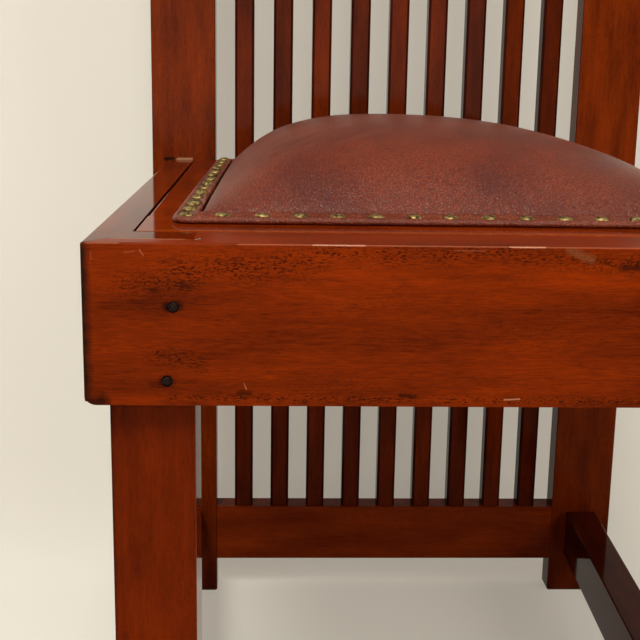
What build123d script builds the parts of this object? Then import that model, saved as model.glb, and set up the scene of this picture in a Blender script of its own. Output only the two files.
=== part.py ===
from build123d import *
import math
import os

# High-back dining chair with a slatted back and a drop-in leather seat.
# Sizes are in millimetres. The chair stands on Z = 0, faces -Y, and X = 0 is its middle.

# Overall
chair_height = 1220
seat_height = 430
back_width = 450
seat_width = 418
seat_depth = 500

# Fits between pieces
joint_gap = 0.2
mortise_end_gap = 1
rest_gap = 0.3
slip_gap = 1.5
cut_overrun = 5

# Edges rubbed by the maker
arris_radius = 1.2
foot_chamfer = 2

# Small round pieces are cut with few facets, as if whittled
round_facets = 10

# Rear posts, flat boards from floor to top
post_width = 58
post_thickness = 24
post_top_chamfer = 4

# Front legs, square
leg_size = 45

# Seat rails
rail_height = 85
front_rail_thickness = 39
front_lip = 14
side_rail_thickness = 21.5
side_lip = 11
corner_round = 5
rear_rail_thickness = 22

# Tenons of the seat rails
rail_tenon_shoulder = 8
front_tenon_length = 24
front_tenon_thickness = 12
side_tenon_length = 16
side_tenon_thickness = 6
rear_tenon_length = 12
rear_tenon_thickness = 10

# Pegs through the front rail's tenons
peg_diameter = 6
peg_length = 40
upper_peg_drop = 33
lower_peg_drop = 72
upper_peg_inset = 10
lower_peg_inset = 13.5
peg_gap = 0.1

# Lower back rail and crest rail, between the posts
floor_to_lower_rail = 35
lower_rail_height = 55
crest_rail_height = 82
crest_rail_drop = 12
back_rail_thickness = 24
back_tenon_length = 20
back_tenon_thickness = 12
back_tenon_shoulder = 10

# Slats
slat_count = 9
slat_size = 17.6
slat_chamfer = 2.2
slat_tenon_size = 10
slat_tenon_length = 12

# Side stretchers, toed out from leg to post
floor_to_stretcher = 40
stretcher_height = 45
stretcher_width = 29
stretcher_tenon_length = 14
stretcher_tenon_thickness = 12
stretcher_tenon_shoulder = 8

# Slip seat frame
slip_thickness = 20
slip_front_board = 64
slip_rear_board = 56
slip_side_board = 60
slip_tenon_length = 22
slip_tenon_thickness = 7

# Ledgers that carry the slip seat, and their screws
ledger_height = 20
front_ledger_thickness = 18
side_ledger_thickness = 15
ledger_screw_count = 2
screw_diameter = 4
screw_length = 30
screw_head_diameter = 8
screw_head_height = 2.6

# Corner blocks, glued below the ledgers
block_arm = 36
block_height = 38

# Leather pad on the slip seat
edge_side_margin = 16
edge_front_margin = 28
edge_rear_margin = 31
edge_roll_width = 16
edge_roll_thickness = 4.5
edge_roll_round = 2
edge_corner_radius = 11
crown_height = 51
crown_shoulder_run = 80
crown_slope_deg = 8
seam_rise = 3
end_rise = 1.5
leather_thickness = 1.8
pad_gap = 0.3
shoulder_station_shares = (0, 0.08, 0.2, 0.4, 0.68, 1)
flat_station_shares = (0.5,)

# Webbing and hessian under the stuffing
strap_width = 50
strap_thickness = 1.5
strap_count_across = 4
strap_count_along = 3
strap_inset = 12
hessian_thickness = 0.8

# Brass nails
nail_head_diameter = 9.2
nail_head_height = 2.2
nail_shank_width = 1.6
nail_tip_width = 0.4
nail_length = 13
nail_facets = 6
nail_dome_shares = ((1, 0), (0.55, 1))
front_nail_pitch = 22
side_nail_pitch = 30

# Places worked out from the sizes above
front = -(seat_depth + post_thickness) / 2
post_front = front + seat_depth
post_middle = post_front + post_thickness / 2
post_outer = back_width / 2
post_inner = post_outer - post_width
rail_outer = seat_width / 2
rail_inner = rail_outer - side_rail_thickness
rail_bottom = seat_height - rail_height
front_rail_back = front + front_rail_thickness
leg_outer = rail_outer - side_lip
leg_inner = leg_outer - leg_size
leg_front = front + front_lip
leg_back = leg_front + leg_size
rear_rail_front = post_front - rear_rail_thickness
stretcher_top = floor_to_stretcher + stretcher_height
lower_rail_bottom = floor_to_lower_rail
lower_rail_top = lower_rail_bottom + lower_rail_height
crest_rail_top = chair_height - crest_rail_drop
crest_rail_bottom = crest_rail_top - crest_rail_height

slip_outer = rail_inner - slip_gap
slip_front = front_rail_back + slip_gap
slip_back = post_front - slip_gap
slip_bottom = seat_height - slip_thickness
ledger_top = slip_bottom - rest_gap

edge_outer = slip_outer - edge_side_margin
edge_front = slip_front + edge_front_margin
edge_back = slip_back - edge_rear_margin
seam_outer = edge_outer - edge_roll_width
seam_front = edge_front + edge_roll_width
seam_back = edge_back - edge_roll_width


def block(x0, x1, y0, y1, z0, z1):
    """A square-edged block between two corners."""
    middle = ((x0 + x1) / 2, (y0 + y1) / 2, (z0 + z1) / 2)
    return Pos(*middle) * Box(abs(x1 - x0), abs(y1 - y0), abs(z1 - z0))


def prism(points, z0, z1):
    """A plan outline raised from z0 to z1."""
    face = make_face(Polyline(*points, close=True))
    return Pos(0, 0, z0) * extrude(face, amount=z1 - z0, dir=(0, 0, 1))


def rod(start, direction, radius, length):
    """A whittled rod from start along direction."""
    place = Plane(origin=start, z_dir=direction)
    return extrude(place * RegularPolygon(radius, round_facets), amount=length)


def other_side(piece):
    """The same piece on the left side of the chair."""
    return mirror(piece, about=Plane.YZ)


def edges_at(piece, axis, place):
    """The edges whose middle lies at a place along an axis."""
    return piece.edges().filter_by_position(axis, place - joint_gap, place + joint_gap)


# Pegged joint of front rail and leg

def peg_places():
    """Middle of each peg at the front face, on the right side."""
    upper = (leg_inner + upper_peg_inset, seat_height - upper_peg_drop)
    lower = (leg_inner + lower_peg_inset, seat_height - lower_peg_drop)
    return [upper, lower]


def peg_rods(radius, length):
    return [rod((x, front, z), (0, 1, 0), radius, length) for x, z in peg_places()]


def front_tenon(gap, end_gap):
    """The front rail's tenon in the leg, grown by gap to cut its mortise."""
    middle = (leg_front + front_rail_back) / 2
    half = front_tenon_thickness / 2 + gap
    low = rail_bottom + rail_tenon_shoulder - gap
    high = ledger_top - rail_tenon_shoulder + gap
    return block(leg_inner, leg_inner + front_tenon_length + end_gap,
                 middle - half, middle + half, low, high)


def rounded_mitre(rail):
    """Rounds the lower corner of a rail's mitred end."""
    mitres = []
    for foot in edges_at(rail, Axis.Z, rail_bottom):
        run = foot.tangent_at(0)
        if abs(run.X) > 0 and abs(run.Y) > 0:
            mitres.append(foot)
    return fillet(mitres, corner_round)


def make_front_rail():
    half_plan = [
        (rail_outer, front),
        (leg_outer, leg_front),
        (leg_inner, leg_front),
        (leg_inner, front_rail_back),
    ]
    plan = half_plan + [(-x, y) for x, y in reversed(half_plan)]
    rail = rounded_mitre(prism(plan, rail_bottom, seat_height))
    front_edges = edges_at(rail, Axis.Y, front).filter_by(Axis.X)
    rail = fillet(front_edges.sort_by(Axis.Z)[-1], arris_radius)
    tenon = front_tenon(0, 0)
    rail = rail + tenon + other_side(tenon)
    for hole in peg_rods(peg_diameter / 2 + peg_gap, peg_length):
        rail = rail - hole - other_side(hole)
    pilot_radius = screw_diameter / 2 + joint_gap
    for start in front_screw_starts():
        rail = rail - rod(start, (0, -1, 0), pilot_radius, screw_length + mortise_end_gap)
    return rail


def make_pegs():
    pegs = peg_rods(peg_diameter / 2, peg_length)
    return pegs + [other_side(peg) for peg in pegs]


# Side rails

def side_tenon(y, direction, gap, end_gap):
    """A stub tenon of the side rail at y, pointing forward or back."""
    middle = (rail_inner + leg_outer) / 2
    half = side_tenon_thickness / 2 + gap
    low = rail_bottom + rail_tenon_shoulder - gap
    high = ledger_top - rail_tenon_shoulder + gap
    tip = y + direction * (side_tenon_length + end_gap)
    return block(middle - half, middle + half, y, tip, low, high)


def make_side_rail():
    plan = [
        (rail_outer, front),
        (rail_outer, post_front),
        (rail_inner, post_front),
        (rail_inner, leg_back),
        (leg_outer, leg_back),
        (leg_outer, leg_front),
    ]
    rail = rounded_mitre(prism(plan, rail_bottom, seat_height))
    outer_edges = edges_at(rail, Axis.X, rail_outer).filter_by(Axis.Y)
    rail = fillet(outer_edges.sort_by(Axis.Z)[-1], arris_radius)
    rail = rail + side_tenon(leg_back, -1, 0, 0) + side_tenon(post_front, 1, 0, 0)
    rail = rail - rear_tenon(joint_gap, mortise_end_gap)
    for hole in side_screw_rods(screw_diameter / 2 + joint_gap, screw_length + mortise_end_gap):
        rail = rail - hole
    return rail


# Rear seat rail, under the back of the slip seat

def rear_tenon(gap, end_gap):
    middle = (rear_rail_front + post_front) / 2
    half = rear_tenon_thickness / 2 + gap
    low = rail_bottom + rail_tenon_shoulder - gap
    high = ledger_top - rail_tenon_shoulder + gap
    return block(rail_inner, rail_inner + rear_tenon_length + end_gap,
                 middle - half, middle + half, low, high)


def make_rear_seat_rail():
    rail = block(-rail_inner, rail_inner, rear_rail_front, post_front, rail_bottom, ledger_top)
    rail = fillet(rail.edges().filter_by(Axis.X), arris_radius)
    tenon = rear_tenon(0, 0)
    return rail + tenon + other_side(tenon)


# Side stretchers

def stretcher_plan(width, y0, y1):
    """Plan of the stretcher, or of its tenon, between two depths."""
    leg_middle = (leg_inner + leg_outer) / 2
    post_centre = (post_inner + post_outer) / 2
    toe = (post_centre - leg_middle) / (post_front - leg_back)
    x0 = leg_middle + toe * (y0 - leg_back)
    x1 = leg_middle + toe * (y1 - leg_back)
    half = width / 2
    return [(x0 - half, y0), (x0 + half, y0), (x1 + half, y1), (x1 - half, y1)]


def stretcher_tenons(gap, end_gap):
    reach = stretcher_tenon_length + end_gap
    plan = stretcher_plan(stretcher_tenon_thickness + 2 * gap, leg_back - reach, post_front + reach)
    low = floor_to_stretcher + stretcher_tenon_shoulder - gap
    high = stretcher_top - stretcher_tenon_shoulder + gap
    return prism(plan, low, high)


def make_side_stretcher():
    plan = stretcher_plan(stretcher_width, leg_back, post_front)
    bar = prism(plan, floor_to_stretcher, stretcher_top)
    long_edges = [edge for edge in bar.edges() if edge.length > seat_depth / 2]
    bar = fillet(long_edges, arris_radius)
    return bar + stretcher_tenons(0, 0)


# Front legs

def make_front_leg():
    leg = block(leg_inner, leg_outer, leg_front, leg_back, 0, seat_height)
    leg = chamfer(leg.faces().sort_by(Axis.Z)[0].edges(), foot_chamfer)
    inner_corner = edges_at(leg, Axis.X, leg_inner).filter_by(Axis.Z)
    leg = fillet(inner_corner, arris_radius)
    slip_rebate = block(leg_inner - cut_overrun, rail_inner, front_rail_back, leg_back + cut_overrun,
                        ledger_top, seat_height + cut_overrun)
    leg = leg - slip_rebate
    leg = leg - front_tenon(joint_gap, mortise_end_gap)
    leg = leg - side_tenon(leg_back, -1, joint_gap, mortise_end_gap)
    leg = leg - stretcher_tenons(joint_gap, mortise_end_gap)
    for hole in peg_rods(peg_diameter / 2 + peg_gap, peg_length + mortise_end_gap):
        leg = leg - hole
    return leg


# Back: posts, rails and slats

def back_rail_tenon(z0, z1, gap, end_gap):
    half = back_tenon_thickness / 2 + gap
    low = z0 + back_tenon_shoulder - gap
    high = z1 - back_tenon_shoulder + gap
    return block(post_inner, post_inner + back_tenon_length + end_gap,
                 post_middle - half, post_middle + half, low, high)


def make_rear_post():
    post = block(post_inner, post_outer, post_front, post_front + post_thickness, 0, chair_height)
    post = chamfer(post.faces().sort_by(Axis.Z)[-1].edges(), post_top_chamfer)
    post = chamfer(post.faces().sort_by(Axis.Z)[0].edges(), foot_chamfer)
    post = fillet(post.edges().filter_by(Axis.Z), arris_radius)
    post = post - back_rail_tenon(lower_rail_bottom, lower_rail_top, joint_gap, mortise_end_gap)
    post = post - back_rail_tenon(crest_rail_bottom, crest_rail_top, joint_gap, mortise_end_gap)
    post = post - side_tenon(post_front, 1, joint_gap, mortise_end_gap)
    post = post - stretcher_tenons(joint_gap, mortise_end_gap)
    return post


slat_space = (2 * post_inner - slat_count * slat_size) / (slat_count + 1)


def slat_place(number):
    """Middle of a slat across the back, so that all the spaces are alike."""
    return -post_inner + number * (slat_size + slat_space) - slat_size / 2


def slat_tenons(number, gap, end_gap):
    x = slat_place(number)
    half = slat_tenon_size / 2 + gap
    reach = slat_tenon_length + end_gap
    return block(x - half, x + half, post_middle - half, post_middle + half,
                 lower_rail_top - reach, crest_rail_bottom + reach)


def make_slat(number):
    x = slat_place(number)
    half = slat_size / 2
    bar = block(x - half, x + half, post_middle - half, post_middle + half,
                lower_rail_top, crest_rail_bottom)
    bar = chamfer(bar.edges().filter_by(Axis.Z), slat_chamfer)
    return bar + slat_tenons(number, 0, 0)


def make_back_rail(z0, z1):
    half = back_rail_thickness / 2
    rail = block(-post_inner, post_inner, post_middle - half, post_middle + half, z0, z1)
    rail = fillet(rail.edges().filter_by(Axis.X), arris_radius)
    tenon = back_rail_tenon(z0, z1, 0, 0)
    rail = rail + tenon + other_side(tenon)
    for number in range(1, slat_count + 1):
        rail = rail - slat_tenons(number, joint_gap, mortise_end_gap)
    return rail


# Ledgers and their screws

def screw(start, direction):
    """A countersunk wood screw whose head lies level with start, cut with few facets."""
    place = Plane(origin=start, z_dir=direction)
    head = RegularPolygon(screw_head_diameter / 2, round_facets)
    neck = RegularPolygon(screw_diameter / 2, round_facets)
    shank_end = place.offset(screw_length) * neck
    cone = loft([place * head, place.offset(screw_head_height) * neck], ruled=True)
    return cone + loft([place.offset(screw_head_height) * neck, shank_end], ruled=True)


def countersink(start, direction):
    """The room that a screw's head and shank need."""
    place = Plane(origin=start, z_dir=direction)
    head = RegularPolygon(screw_head_diameter / 2 + joint_gap, round_facets)
    neck = RegularPolygon(screw_diameter / 2 + joint_gap, round_facets)
    shank_end = place.offset(screw_length) * neck
    cone = loft([place.offset(-joint_gap) * head, place.offset(screw_head_height) * neck], ruled=True)
    return cone + loft([place.offset(screw_head_height) * neck, shank_end], ruled=True)


def spread(low, high, count):
    """Even places between two ends, half a step in from each."""
    step = (high - low) / count
    return [low + step / 2 + step * number for number in range(count)]


screw_height = ledger_top - ledger_height / 2
side_ledger_inner = rail_inner - side_ledger_thickness
front_ledger_back = front_rail_back + front_ledger_thickness


def front_screw_starts():
    places = spread(-leg_inner, leg_inner, ledger_screw_count)
    return [(x, front_ledger_back, screw_height) for x in places]


def side_screw_starts():
    places = spread(leg_back, rear_rail_front, ledger_screw_count)
    return [(side_ledger_inner, y, screw_height) for y in places]


def side_screw_rods(radius, length):
    return [rod(start, (1, 0, 0), radius, length) for start in side_screw_starts()]


def make_front_ledger():
    ledger = block(-leg_inner, leg_inner, front_rail_back, front_ledger_back,
                   ledger_top - ledger_height, ledger_top)
    for start in front_screw_starts():
        ledger = ledger - countersink(start, (0, -1, 0))
    return ledger


def make_side_ledger():
    ledger = block(side_ledger_inner, rail_inner, leg_back, rear_rail_front,
                   ledger_top - ledger_height, ledger_top)
    for start in side_screw_starts():
        ledger = ledger - countersink(start, (1, 0, 0))
    return ledger


def make_ledger_screws():
    screws = [screw(start, (0, -1, 0)) for start in front_screw_starts()]
    for start in side_screw_starts():
        right = screw(start, (1, 0, 0))
        screws.extend([right, other_side(right)])
    return screws


# Corner blocks

block_top = ledger_top - ledger_height


def make_front_corner_block():
    plan = [
        (leg_inner, front_rail_back),
        (leg_inner - block_arm, front_rail_back),
        (rail_inner, leg_back + block_arm),
        (rail_inner, leg_back),
        (leg_inner, leg_back),
    ]
    return prism(plan, block_top - block_height, block_top)


def make_rear_corner_block():
    plan = [
        (rail_inner, rear_rail_front),
        (rail_inner - 2 * block_arm, rear_rail_front),
        (rail_inner, rear_rail_front - 2 * block_arm),
    ]
    return prism(plan, block_top - block_height, block_top)


# Slip seat frame

def slip_tenon(y, direction, gap, end_gap):
    """A tenon of the slip frame's side board, in its front or rear board."""
    inner = slip_outer - slip_side_board + slip_tenon_thickness
    outer = slip_outer - slip_tenon_thickness
    middle = (slip_bottom + seat_height) / 2
    half = slip_tenon_thickness / 2 + gap
    tip = y + direction * (slip_tenon_length + end_gap)
    return block(inner - gap, outer + gap, y, tip, middle - half, middle + half)


slip_front_joint = slip_front + slip_front_board
slip_rear_joint = slip_back - slip_rear_board


def make_slip_cross_board(y0, y1, joint, direction):
    board = block(-slip_outer, slip_outer, y0, y1, slip_bottom, seat_height)
    board = fillet(edges_at(board, Axis.Z, seat_height).filter_by(Axis.X), arris_radius)
    mortise = slip_tenon(joint, direction, joint_gap, mortise_end_gap)
    return board - mortise - other_side(mortise)


def make_slip_side_board():
    board = block(slip_outer - slip_side_board, slip_outer, slip_front_joint, slip_rear_joint,
                  slip_bottom, seat_height)
    board = fillet(edges_at(board, Axis.Z, seat_height).filter_by(Axis.Y), arris_radius)
    return board + slip_tenon(slip_front_joint, -1, 0, 0) + slip_tenon(slip_rear_joint, 1, 0, 0)


# Webbing and hessian

def make_webbing():
    """Straps across below, straps along above."""
    reach = seam_outer - strap_inset
    front_end = seam_front + strap_inset
    back_end = seam_back - strap_inset
    half = strap_width / 2
    straps = []
    lower_top = seat_height + strap_thickness
    for y in spread(slip_front_joint, slip_rear_joint, strap_count_across):
        straps.append(block(-reach, reach, y - half, y + half, seat_height, lower_top))
    opening = slip_outer - slip_side_board
    for x in spread(-opening, opening, strap_count_along):
        straps.append(block(x - half, x + half, front_end, back_end,
                            lower_top, lower_top + strap_thickness))
    return straps


hessian_bottom = seat_height + 2 * strap_thickness
hessian_top = hessian_bottom + hessian_thickness


def make_hessian():
    reach = seam_outer - strap_inset
    return block(-reach, reach, seam_front + strap_inset, seam_back - strap_inset,
                 hessian_bottom, hessian_top)


# Crowned pad

def crown_curve(half, height):
    """Where the flat top arc meets the shoulder arc, and the middle of the shoulder arc."""
    slope = math.radians(crown_slope_deg) * height / crown_height
    flat = half - crown_shoulder_run
    drop = flat * math.tan(slope / 2)
    knee = (flat, height - drop)
    fall = math.atan2(knee[1], crown_shoulder_run)
    chord = math.hypot(knee[1], crown_shoulder_run)
    bulge = chord / 2 * math.tan((fall - slope) / 2)
    middle = (flat + crown_shoulder_run / 2 + bulge * math.sin(fall),
              knee[1] / 2 + bulge * math.cos(fall))
    return knee, middle


def crown_rise(distance, half, height):
    """Height of the crown at a distance in from the seam."""
    slope = math.radians(crown_slope_deg)
    flat = half - crown_shoulder_run
    x = half - distance
    if x <= flat:
        radius = flat / math.sin(slope)
        return height - radius + math.sqrt(radius ** 2 - x ** 2)
    knee, middle = crown_curve(half, height)
    fall = math.atan2(knee[1], crown_shoulder_run)
    radius = math.hypot(knee[1], crown_shoulder_run) / 2 / math.sin(fall - slope)
    centre = (flat - radius * math.sin(slope), knee[1] - radius * math.cos(slope))
    return centre[1] + math.sqrt(radius ** 2 - (x - centre[0]) ** 2)


def across(point):
    return (-point[0], point[1])


def crown_section(y, half, height, base, foot):
    """Upright section of the pad: flat below, a short upright seam, shoulders and a low arc."""
    knee, middle = crown_curve(half, height)
    low = (half, foot)
    seam = (half, seam_rise)
    shoulder = (middle[0], middle[1] + seam_rise)
    brow = (knee[0], knee[1] + seam_rise)
    place = Plane(origin=(0, y, base), x_dir=(1, 0, 0), z_dir=(0, -1, 0))
    lines = [
        Line(across(low), low),
        Line(low, seam),
        ThreePointArc(seam, shoulder, brow),
        ThreePointArc(brow, (0, height + seam_rise), across(brow)),
        ThreePointArc(across(brow), across(shoulder), across(seam)),
        Line(across(seam), across(low)),
    ]
    return place * make_face(Curve() + lines)


def crown_form(inset, foot):
    """The pad's crowned form, drawn in by inset all round and on top, with its base at foot."""
    half = seam_outer - inset
    y0 = seam_front + inset
    y1 = seam_back - inset
    length = y1 - y0
    height = crown_height - inset
    flat = length / 2 - crown_shoulder_run
    near = [crown_shoulder_run * share for share in shoulder_station_shares]
    near = near + [crown_shoulder_run + flat * share for share in flat_station_shares]
    sections = []
    for distance in near + [length / 2]:
        rise = max(crown_rise(distance, length / 2, height), end_rise)
        sections.append((y0 + distance, rise))
    for y, rise in reversed(sections[:-1]):
        sections.append((y0 + y1 - y, rise))
    faces = [crown_section(y, half, rise, seat_height - inset, foot + inset) for y, rise in sections]
    return loft(faces, ruled=True)


def make_leather_cover():
    return crown_form(0, 0) - crown_form(leather_thickness, -cut_overrun)


def make_stuffing():
    below = block(-seam_outer, seam_outer, seam_front, seam_back, seat_height - cut_overrun, hessian_top)
    return crown_form(leather_thickness + pad_gap, 0) - below


# Edge roll and nails

def edge_outline(inset, radius):
    centre = (0, (edge_front + edge_back) / 2)
    width = 2 * (edge_outer - inset)
    length = edge_back - edge_front - 2 * inset
    if radius:
        return Pos(*centre) * RectangleRounded(width, length, radius)
    return Pos(*centre) * Rectangle(width, length)


def make_edge_roll():
    ring = extrude(edge_outline(0, edge_corner_radius), amount=edge_roll_thickness)
    ring = Pos(0, 0, seat_height) * ring
    ring = fillet(ring.faces().sort_by(Axis.Z)[-1].edges(), edge_roll_round)
    hole = edge_outline(edge_roll_width - pad_gap, 0)
    return ring - extrude(Pos(0, 0, seat_height - cut_overrun) * hole,
                          amount=edge_roll_thickness + 2 * cut_overrun)


def nail_places():
    """Nails along the middle of the edge roll, corners included."""
    x = edge_outer - edge_roll_width / 2
    y0 = edge_front + edge_roll_width / 2
    y1 = edge_back - edge_roll_width / 2
    across = round(2 * x / front_nail_pitch)
    along = round((y1 - y0) / side_nail_pitch)
    places = []
    for number in range(across + 1):
        step = -x + 2 * x * number / across
        places.extend([(step, y0), (step, y1)])
    for number in range(1, along):
        step = y0 + (y1 - y0) * number / along
        places.extend([(-x, step), (x, step)])
    return places


def make_nail():
    """A dome-headed upholstery nail, cut with few facets, standing on Z = 0 with its shank down."""
    rings = []
    for width_share, height_share in nail_dome_shares:
        ring = RegularPolygon(nail_head_diameter / 2 * width_share, nail_facets)
        rings.append(Pos(0, 0, nail_head_height * height_share) * ring)
    head = loft(rings, ruled=True)
    shank = loft([Rectangle(nail_shank_width, nail_shank_width),
                  Pos(0, 0, -nail_length) * Rectangle(nail_tip_width, nail_tip_width)])
    return head + shank


def make_nails():
    nail = make_nail()
    top = seat_height + edge_roll_thickness
    return [Pos(x, y, top) * nail for x, y in nail_places()]


def save(name, piece):
    if isinstance(piece, list):
        piece = Compound(children=[single.solid() for single in piece])
    export_step(piece, f"parts/{name}.step")


def save_pair(name, right):
    save(name + "_right", right)
    save(name + "_left", other_side(right))


os.makedirs("parts", exist_ok=True)

save("front_rail", make_front_rail())
save_pair("side_rail", make_side_rail())
save("rear_seat_rail", make_rear_seat_rail())
save_pair("front_leg", make_front_leg())
save("front_rail_pegs", make_pegs())
save_pair("side_stretcher", make_side_stretcher())
save_pair("rear_post", make_rear_post())
save("lower_back_rail", make_back_rail(lower_rail_bottom, lower_rail_top))
save("crest_rail", make_back_rail(crest_rail_bottom, crest_rail_top))
for number in range(1, slat_count + 1):
    save(f"slat_{number}", make_slat(number))
save("front_ledger", make_front_ledger())
save_pair("side_ledger", make_side_ledger())
save("ledger_screws", make_ledger_screws())
save_pair("front_corner_block", make_front_corner_block())
save_pair("rear_corner_block", make_rear_corner_block())
save("slip_frame_front", make_slip_cross_board(slip_front, slip_front_joint, slip_front_joint, -1))
save("slip_frame_rear", make_slip_cross_board(slip_rear_joint, slip_back, slip_rear_joint, 1))
save_pair("slip_frame_side", make_slip_side_board())
save("seat_webbing", make_webbing())
save("seat_hessian", make_hessian())
save("seat_stuffing", make_stuffing())
save("leather_cover", make_leather_cover())
save("leather_edge_roll", make_edge_roll())
save("brass_nails", make_nails())
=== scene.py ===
# High-back dining chair in red mahogany, with nine slats and a drop-in seat
# under a crowned leather pad. Lengths are in metres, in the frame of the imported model.

import math
import random

import bmesh
import bpy
from mathutils import Matrix, Vector, noise


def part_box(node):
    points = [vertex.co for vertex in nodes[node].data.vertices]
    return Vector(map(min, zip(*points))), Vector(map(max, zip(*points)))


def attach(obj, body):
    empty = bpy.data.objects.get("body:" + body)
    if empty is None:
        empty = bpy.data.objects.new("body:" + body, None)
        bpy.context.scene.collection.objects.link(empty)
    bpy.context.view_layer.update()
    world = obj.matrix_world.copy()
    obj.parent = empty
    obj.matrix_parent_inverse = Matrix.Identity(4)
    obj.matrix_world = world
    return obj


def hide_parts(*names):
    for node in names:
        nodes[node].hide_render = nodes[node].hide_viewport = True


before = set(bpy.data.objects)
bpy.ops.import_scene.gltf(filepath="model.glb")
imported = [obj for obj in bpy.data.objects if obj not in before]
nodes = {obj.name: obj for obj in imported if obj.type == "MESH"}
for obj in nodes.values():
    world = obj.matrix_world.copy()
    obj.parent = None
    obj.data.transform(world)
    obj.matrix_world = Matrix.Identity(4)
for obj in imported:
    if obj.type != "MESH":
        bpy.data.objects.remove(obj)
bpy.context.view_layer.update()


# Studio: a pale paper sweep, matt and unprinted, that runs from the floor up behind the chair.
# It is see-through from behind and below, so the chair's back and underside can be looked at.

sweep_half_width = 3.0
sweep_front = -4.0
sweep_back = 0.38
sweep_height = 3.0
sweep_bend = 0.09
bend_steps = 12


def linear(code):
    """An sRGB hex value as linear red, green, blue and full alpha."""
    channels = [int(code[place:place + 2], 16) / 255 for place in (1, 3, 5)]
    return [c / 12.92 if c <= 0.04045 else ((c + 0.055) / 1.055) ** 2.4 for c in channels] + [1.0]


def new_material(name):
    """A material with an empty node tree, and that tree."""
    material = bpy.data.materials.new(name)
    material.use_nodes = True
    material.node_tree.nodes.clear()
    return material, material.node_tree


def add(tree, kind, settings, inputs):
    """Adds a node with its settings; an input is a value, or the node or socket that feeds it."""
    made = tree.nodes.new("ShaderNode" + kind)
    for name, value in settings.items():
        setattr(made, name, value)
    for name, value in inputs.items():
        if isinstance(name, int):
            socket = made.inputs[name]
        else:
            socket = next(s for s in made.inputs if s.name == name and s.enabled)
        if isinstance(value, bpy.types.Node):
            value = next(s for s in value.outputs if s.enabled)
        if isinstance(value, bpy.types.NodeSocket):
            tree.links.new(value, socket)
        else:
            socket.default_value = value
    return made


def ramp(tree, source, stops):
    """A colour ramp fed by source; stops are (place, colour) with plain numbers as greys."""
    made = add(tree, "ValToRGB", {}, {"Fac": source})
    while len(made.color_ramp.elements) < len(stops):
        made.color_ramp.elements.new(1)
    for element, (place, value) in zip(made.color_ramp.elements, stops):
        element.position = place
        element.color = value if isinstance(value, (list, tuple)) else (value, value, value, 1)
    return made.outputs["Color"]


def new_piece(name, vertices, faces, material, smooth=True):
    """A mesh piece made from vertices and faces, at the origin."""
    mesh = bpy.data.meshes.new(name)
    mesh.from_pydata(vertices, [], faces)
    mesh.validate()
    mesh.polygons.foreach_set("use_smooth", [smooth] * len(mesh.polygons))
    mesh.materials.append(material)
    piece = bpy.data.objects.new(name, mesh)
    bpy.context.collection.objects.link(piece)
    return piece


def seen_directly(tree):
    """One for rays from the eye, or seen in gloss or through glass."""
    rays = add(tree, "LightPath", {}, {})
    seen = add(tree, "Math", {"operation": "MAXIMUM"}, {
        0: rays.outputs["Is Camera Ray"], 1: rays.outputs["Is Glossy Ray"]})
    return add(tree, "Math", {"operation": "MAXIMUM"}, {
        0: seen, 1: rays.outputs["Is Transmission Ray"]})


paper, tree = new_material("matt_background_paper")
paper_face = add(tree, "BsdfDiffuse", {}, {"Color": linear("#f1eee7"), "Roughness": 1.0})
# a third of what the eye sees is the paper's own pale colour, so the chair's shadow stays soft
paper_glow = add(tree, "Emission", {}, {"Color": linear("#f1e8d6"), "Strength": 1.0})
glow_share = add(tree, "Math", {"operation": "MULTIPLY"}, {0: seen_directly(tree), 1: 0.32})
paper_face = add(tree, "MixShader", {}, {0: glow_share, 1: paper_face, 2: paper_glow})
paper_behind = add(tree, "BsdfTransparent", {}, {})
paper_side = add(tree, "NewGeometry", {}, {})
paper_face = add(tree, "MixShader", {}, {
    0: paper_side.outputs["Backfacing"], 1: paper_face, 2: paper_behind})
add(tree, "OutputMaterial", {}, {"Surface": paper_face})

profile = [(sweep_front, 0.0)]
for step in range(bend_steps + 1):
    turn = math.pi / 2 * step / bend_steps
    profile.append((sweep_back - sweep_bend + sweep_bend * math.sin(turn),
                    sweep_bend - sweep_bend * math.cos(turn)))
profile.append((sweep_back, sweep_height))
sweep_points = [(x, y, z) for y, z in profile for x in (-sweep_half_width, sweep_half_width)]
sweep_faces = [(2 * i, 2 * i + 1, 2 * i + 3, 2 * i + 2) for i in range(len(profile) - 1)]
sweep = new_piece("paper_sweep", sweep_points, sweep_faces, paper)

world = bpy.data.worlds.new("studio_air")
world.use_nodes = True
bpy.context.scene.world = world
tree = world.node_tree
tree.nodes.clear()
pale_air = add(tree, "Background", {}, {"Color": linear("#ece6d9"), "Strength": 1.0})
dim_air = add(tree, "Background", {}, {"Color": linear("#f4f2ee"), "Strength": 0.12})
air = add(tree, "MixShader", {}, {0: seen_directly(tree), 1: dim_air, 2: pale_air})
add(tree, "OutputWorld", {}, {"Surface": air})


def add_lamp(name, place, target, width, height, watts, tint):
    """A soft box aimed at a point."""
    data = bpy.data.lights.new(name, "AREA")
    data.shape = "RECTANGLE"
    data.size = width
    data.size_y = height
    data.energy = watts
    data.color = linear(tint)[:3]
    lamp = bpy.data.objects.new(name, data)
    lamp.location = place
    lamp.rotation_euler = (Vector(target) - Vector(place)).to_track_quat("-Z", "Y").to_euler()
    bpy.context.collection.objects.link(lamp)


add_lamp("front_soft_box", (-0.45, -1.6, 2.35), (0, 0, 0.45), 1.3, 0.9, 58, "#fffaf0")
add_lamp("low_soft_box", (-0.2, -2.0, 0.55), (0, 0.3, 0.15), 1.4, 0.5, 5, "#fff6ea")
add_lamp("side_soft_box", (1.9, -1.5, 1.5), (0, 0, 0.45), 1.0, 1.4, 14, "#fff8ee")


# Camera: stands a little left of the middle and above the seat, as in the photograph.
# Its place and turn, in radians, were fitted to the edges that the photograph shows.

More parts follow.
